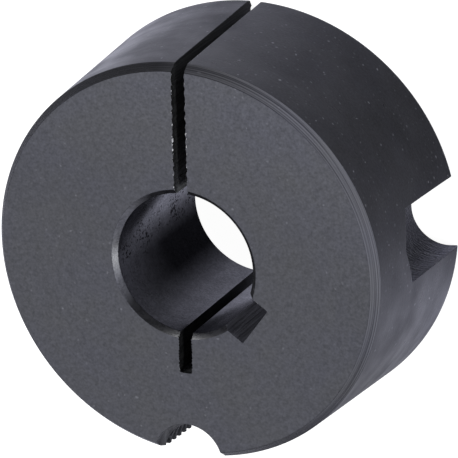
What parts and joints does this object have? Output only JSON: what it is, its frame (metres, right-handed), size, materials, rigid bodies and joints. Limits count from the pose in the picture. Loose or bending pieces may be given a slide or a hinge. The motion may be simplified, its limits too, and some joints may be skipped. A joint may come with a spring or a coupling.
{
  "type": "taper bush",
  "caption": "Split tapered sleeve with a keyed bore that clamps a pulley or hub onto a shaft; half-holes along the taper take its clamping and jacking screws.",
  "frame": {"origin": "centre of the bore, in the plane of the large-end face on which the bush stands", "axes": "+Z along the bore axis from the large end to the small end; +Y from the axis to the saw cut that splits the wall"},
  "size_m": [0.0566, 0.0566, 0.0254],
  "materials": {
    "blackened_iron": "machined cast iron with a dark grey phosphate finish, satin, with fine turning lines"
  },
  "bodies": {
    "root": {"taper_bush": "blackened_iron"}
  },
  "joints": []
}
